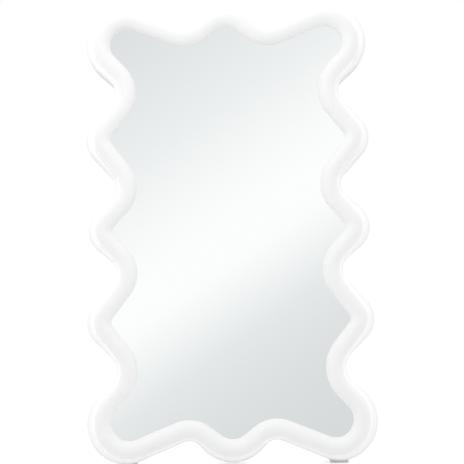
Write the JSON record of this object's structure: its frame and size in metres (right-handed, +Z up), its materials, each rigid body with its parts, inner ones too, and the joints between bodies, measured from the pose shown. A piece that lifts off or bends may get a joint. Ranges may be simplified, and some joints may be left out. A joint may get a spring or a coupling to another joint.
{
  "type": "lighted makeup mirror",
  "caption": "Free-standing table-top makeup mirror with a wavy frame, an opal light bead round the glass, rear push buttons, a charging socket and a folding prop leg.",
  "frame": {"origin": "middle of the footprint on the table top, under the standing mirror", "axes": "+Z up, -Y the way the mirror faces, +X to the right as seen from the front"},
  "size_m": [0.286, 0.1398, 0.454],
  "materials": {
    "frame_white": "moulded, satin gloss",
    "opal": "opal, lit from inside",
    "mirror": "silvered float glass",
    "safety_film": "matt",
    "foam_tape": "matt foam",
    "strip_white": "flexible film",
    "phosphor": "phosphor in a white package",
    "wire_sleeve": "PVC sleeve",
    "cover_white": "moulded, fine texture",
    "screw_steel": "zinc plated",
    "pad_rubber": "milky silicone",
    "board_green": "solder mask",
    "chip_black": "moulded epoxy",
    "ferrite": "pressed ferrite",
    "can_aluminium": "drawn can",
    "header_ivory": "moulded nylon",
    "socket_steel": "nickel plated",
    "battery_foil": "laminated foil",
    "button_white": "satin",
    "bracket_steel": "zinc plated sheet",
    "pin_steel": "turned",
    "washer_nylon": "natural nylon",
    "leg_white": "moulded, fine texture",
    "foot_rubber": "matt"
  },
  "bodies": {
    "mirror_body": {"front_frame": "frame_white", "light_diffuser": "opal", "mirror_glass": "mirror", "glass_film": "safety_film", "glass_tape": "foam_tape", "led_strip": "strip_white", "led_chips": "phosphor", "strip_lead": "wire_sleeve", "rear_cover": "cover_white", "cover_screws": "screw_steel", "foot_pads": "pad_rubber", "control_board": "board_green", "board_screws": "screw_steel", "driver_chips": "chip_black", "power_inductor": "ferrite", "board_capacitors": "can_aluminium", "lead_headers": "header_ivory", "lead_plugs": "header_ivory", "switch_bodies": "chip_black", "socket_shell": "socket_steel", "socket_tongue": "chip_black", "battery_pack": "battery_foil", "battery_tape": "foam_tape", "battery_lead": "wire_sleeve", "hinge_bracket": "bracket_steel", "bracket_screws": "screw_steel", "hinge_pin": "pin_steel", "pin_clip": "pin_steel", "hinge_washers": "washer_nylon"},
    "power_button": {"power_button": "button_white", "power_plunger": "chip_black"},
    "tone_button": {"tone_button": "button_white", "tone_plunger": "chip_black"},
    "prop_leg": {"stand_leg": "leg_white", "leg_foot": "foot_rubber"}
  },
  "joints": [
    {"name": "leg_hinge", "type": "hinge", "parent": "mirror_body", "child": "prop_leg", "pos_m": [0, 0.02062, 0.25377], "axis": [1, 0, 0], "range_deg": [-22, 0]},
    {"name": "power_press", "type": "slide", "parent": "mirror_body", "child": "power_button", "axis": [0, -0.9781, 0.2079], "range_m": [0, 0.0005], "stiffness_N_per_m": 600, "springref_m": -0.001},
    {"name": "tone_press", "type": "slide", "parent": "mirror_body", "child": "tone_button", "axis": [0, -0.9781, 0.2079], "range_m": [0, 0.0005], "stiffness_N_per_m": 600, "springref_m": -0.001}
  ]
}
